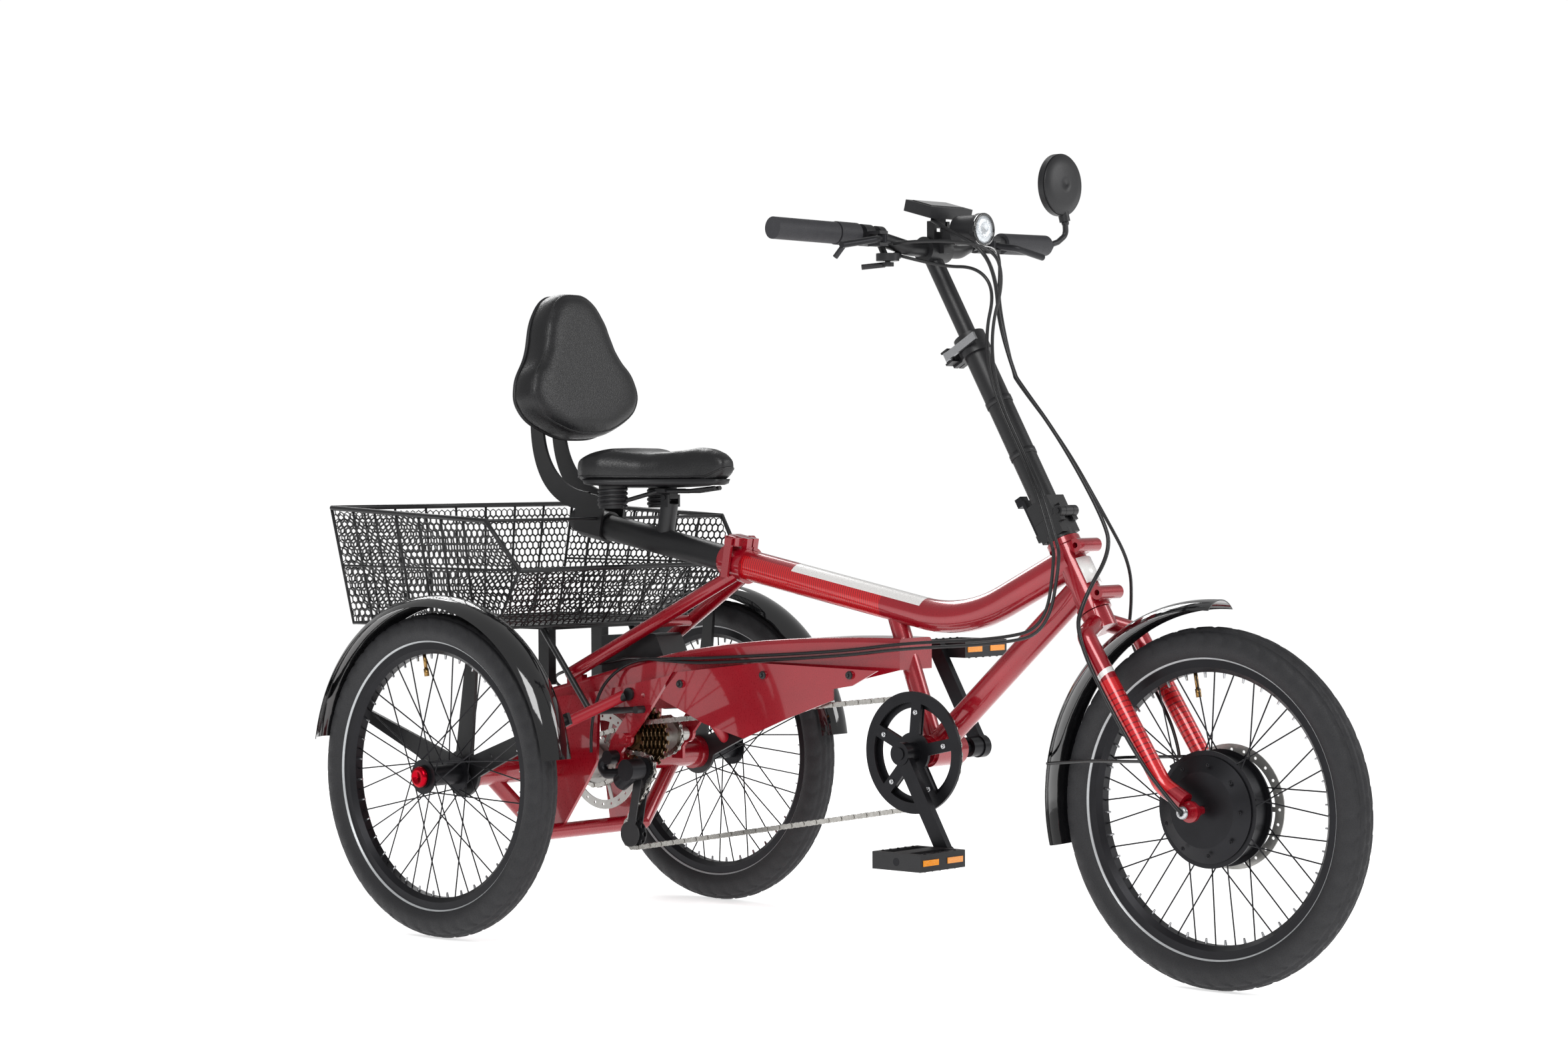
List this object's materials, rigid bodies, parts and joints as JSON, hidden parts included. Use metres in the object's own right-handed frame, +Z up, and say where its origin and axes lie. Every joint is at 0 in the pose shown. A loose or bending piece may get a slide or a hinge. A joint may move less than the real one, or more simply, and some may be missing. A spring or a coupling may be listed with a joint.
{
  "type": "adult tricycle",
  "caption": "Adult pedal tricycle with motor front hub, folding telescopic handlepost, sliding saddle with backrest, rear basket and chain drive.",
  "frame": {"origin": "the ground point midway between the rear wheels, under their shared axle line", "axes": "+X forward, +Y to the rider's left, +Z up; the wheels stand on z = 0"},
  "size_m": [1.807, 0.7535, 1.2155],
  "materials": {
    "frame_red": "gloss",
    "black_satin": "satin",
    "black_gloss": "gloss",
    "alloy": "satin",
    "alloy_black": "satin",
    "steel": "brushed",
    "cog_steel": "oiled",
    "chain_steel": "oiled",
    "tyre_rubber": "matt",
    "grip_rubber": "matt",
    "black_plastic": "matt",
    "lamp_glass": "clear",
    "black_vinyl": "grained",
    "cable_sheath": "satin"
  },
  "bodies": {
    "frame": {"main_frame": "frame_red", "lower_frame": "frame_red", "centre_beam": "frame_red", "rear_frame": "frame_red", "chain_guard": "frame_red", "right_rear_fender": "black_gloss", "left_rear_fender": "black_gloss", "fender_brackets": "black_satin", "basket": "black_satin", "basket_rack": "black_satin", "controller_case": "black_plastic", "rear_caliper": "alloy_black", "derailleur": "black_plastic", "seat_clamp": "frame_red", "rear_cables": "cable_sheath", "chain": "chain_steel", "drive_chain": "chain_steel"},
    "right_wheel": {"right_tyre": "tyre_rubber", "right_wheel": "alloy_black"},
    "left_wheel": {"left_tyre": "tyre_rubber", "left_wheel": "alloy_black"},
    "front_wheel": {"front_tyre": "tyre_rubber", "front_wheel": "alloy_black", "hub_motor": "alloy_black", "front_rotor": "steel"},
    "differential": {"differential": "steel"},
    "jackshaft": {"jackshaft": "steel"},
    "cassette": {"cassette": "cog_steel"},
    "cage": {"derailleur_cage": "black_plastic"},
    "guide_pulley": {"guide_pulley": "black_plastic"},
    "tension_pulley": {"tension_pulley": "black_plastic"},
    "cranks": {"cranks": "alloy_black", "chainring": "alloy_black"},
    "pedal_right": {"pedal_right": "black_plastic"},
    "pedal_left": {"pedal_left": "black_plastic"},
    "fork": {"fork": "frame_red", "front_fender": "black_gloss", "front_caliper": "alloy_black", "hinge_base": "black_satin", "front_cables": "cable_sheath"},
    "lower_post": {"lower_post": "black_satin"},
    "upper_post": {"upper_post": "black_satin", "handlebar": "black_satin", "grips": "grip_rubber", "bar_controls": "black_plastic", "headlight": "black_plastic"},
    "post_latch": {"post_latch": "alloy_black"},
    "post_clamp_lever": {"post_clamp_lever": "alloy"},
    "throttle": {"throttle": "grip_rubber"},
    "brake_lever_right": {"brake_lever_right": "alloy_black"},
    "brake_lever_left": {"brake_lever_left": "alloy_black"},
    "shift_lever": {"shift_lever": "black_plastic"},
    "display": {"display": "black_plastic"},
    "mirror": {"mirror_head": "black_plastic"},
    "seat": {"seat_slider": "black_satin"},
    "seat_clamp_lever": {"seat_clamp_lever": "alloy"},
    "saddle": {"saddle_frame": "black_satin", "saddle": "black_vinyl"},
    "backrest": {"backrest_bracket": "black_satin", "backrest_pad": "black_vinyl"}
  },
  "joints": [
    {"name": "steer", "type": "hinge", "parent": "frame", "child": "fork", "pos_m": [0.9817, 0, 0.621], "axis": [-0.5, 0, 0.866], "range_deg": [-38, 38], "deforming": ["rear_cables"]},
    {"name": "front_wheel_spin", "type": "hinge", "parent": "fork", "child": "front_wheel", "pos_m": [1.246, 0, 0.253], "axis": [0, 1, 0], "continuous": true},
    {"name": "right_wheel_spin", "type": "hinge", "parent": "frame", "child": "right_wheel", "pos_m": [0, -0.3176, 0.253], "axis": [0, 1, 0], "continuous": true},
    {"name": "left_wheel_spin", "type": "hinge", "parent": "frame", "child": "left_wheel", "pos_m": [0, 0.3176, 0.253], "axis": [0, 1, 0], "continuous": true},
    {"name": "differential_spin", "type": "hinge", "parent": "frame", "child": "differential", "pos_m": [0, 0, 0.253], "axis": [0, 1, 0], "continuous": true},
    {"name": "jackshaft_spin", "type": "hinge", "parent": "frame", "child": "jackshaft", "pos_m": [0.165, 0, 0.303], "axis": [0, 1, 0], "continuous": true},
    {"name": "crank_spin", "type": "hinge", "parent": "frame", "child": "cranks", "pos_m": [0.753, 0, 0.31], "axis": [0, 1, 0], "continuous": true},
    {"name": "cassette_spin", "type": "hinge", "parent": "frame", "child": "cassette", "pos_m": [0.165, -0.045, 0.303], "axis": [0, 1, 0], "continuous": true},
    {"name": "cage_pivot", "type": "hinge", "parent": "frame", "child": "cage", "pos_m": [0.19, -0.068, 0.256], "axis": [0, 1, 0], "range_deg": [-10, 25], "stiffness_Nm_per_rad": 0.6, "deforming": ["chain"]},
    {"name": "guide_pulley_spin", "type": "hinge", "parent": "cage", "child": "guide_pulley", "pos_m": [0.19, -0.057, 0.256], "axis": [0, 1, 0], "continuous": true},
    {"name": "tension_pulley_spin", "type": "hinge", "parent": "cage", "child": "tension_pulley", "pos_m": [0.168, -0.057, 0.152], "axis": [0, 1, 0], "continuous": true},
    {"name": "pedal_right_spin", "type": "hinge", "parent": "cranks", "child": "pedal_right", "pos_m": [0.8355, -0.152, 0.1671], "axis": [0, 1, 0], "continuous": true},
    {"name": "pedal_left_spin", "type": "hinge", "parent": "cranks", "child": "pedal_left", "pos_m": [0.6705, 0.152, 0.4529], "axis": [0, 1, 0], "continuous": true},
    {"name": "post_fold", "type": "hinge", "parent": "fork", "child": "lower_post", "pos_m": [0.9871, 0, 0.6657], "axis": [0, 1, 0], "range_deg": [0, 120], "deforming": ["rear_cables", "front_cables"]},
    {"name": "post_latch_turn", "type": "hinge", "parent": "fork", "child": "post_latch", "pos_m": [0.9483, 0, 0.6248], "axis": [0, -1, 0], "range_deg": [0, 75]},
    {"name": "post_slide", "type": "slide", "parent": "lower_post", "child": "upper_post", "axis": [-0.5, 0, 0.866], "range_m": [-0.08, 0.04], "deforming": ["rear_cables", "front_cables"]},
    {"name": "post_clamp_lever_turn", "type": "hinge", "parent": "lower_post", "child": "post_clamp_lever", "pos_m": [0.7895, -0.022, 0.8899], "axis": [0.5, 0, -0.866], "range_deg": [0, 120]},
    {"name": "throttle_twist", "type": "hinge", "parent": "upper_post", "child": "throttle", "pos_m": [0.71767, -0.17, 1.06808], "axis": [-0.083, -0.9963, 0.0208], "range_deg": [0, 60], "stiffness_Nm_per_rad": 0.3},
    {"name": "brake_lever_right_pull", "type": "hinge", "parent": "upper_post", "child": "brake_lever_right", "pos_m": [0.75117, -0.126, 1.06121], "axis": [0, 0, -1], "range_deg": [0, 15], "stiffness_Nm_per_rad": 2},
    {"name": "brake_lever_left_pull", "type": "hinge", "parent": "upper_post", "child": "brake_lever_left", "pos_m": [0.75117, 0.126, 1.06121], "axis": [0, 0, 1], "range_deg": [0, 15], "stiffness_Nm_per_rad": 2},
    {"name": "shift_lever_turn", "type": "hinge", "parent": "upper_post", "child": "shift_lever", "pos_m": [0.742, -0.104, 1.025], "axis": [0, 0, 1], "range_deg": [-20, 20], "stiffness_Nm_per_rad": 0.3},
    {"name": "display_tilt", "type": "hinge", "parent": "upper_post", "child": "display", "pos_m": [0.752, 0, 1.086], "axis": [0, 1, 0], "range_deg": [-25, 10]},
    {"name": "mirror_tilt", "type": "hinge", "parent": "upper_post", "child": "mirror", "pos_m": [0.712, 0.358, 1.108], "axis": [0, 1, 0], "range_deg": [-20, 20]},
    {"name": "seat_slide", "type": "slide", "parent": "frame", "child": "seat", "axis": [-0.9831, 0, 0.183], "range_m": [-0.04, 0.1]},
    {"name": "seat_clamp_lever_turn", "type": "hinge", "parent": "frame", "child": "seat_clamp_lever", "pos_m": [0.3551, -0.025, 0.6167], "axis": [-0.9831, 0, 0.183], "range_deg": [0, 120]},
    {"name": "saddle_tilt", "type": "hinge", "parent": "seat", "child": "saddle", "pos_m": [0.197, 0, 0.683], "axis": [0, 1, 0], "range_deg": [-4, 8]},
    {"name": "backrest_slide", "type": "slide", "parent": "seat", "child": "backrest", "axis": [-0.9831, 0, 0.183], "range_m": [-0.01, 0.012]}
  ],
  "couplings": [
    {"joint": "jackshaft_spin", "follows": "differential_spin", "ratio": 1.4286},
    {"joint": "cassette_spin", "follows": "crank_spin", "ratio": 3.6364},
    {"joint": "guide_pulley_spin", "follows": "crank_spin", "ratio": -3.6364},
    {"joint": "tension_pulley_spin", "follows": "crank_spin", "ratio": 3.6364}
  ]
}
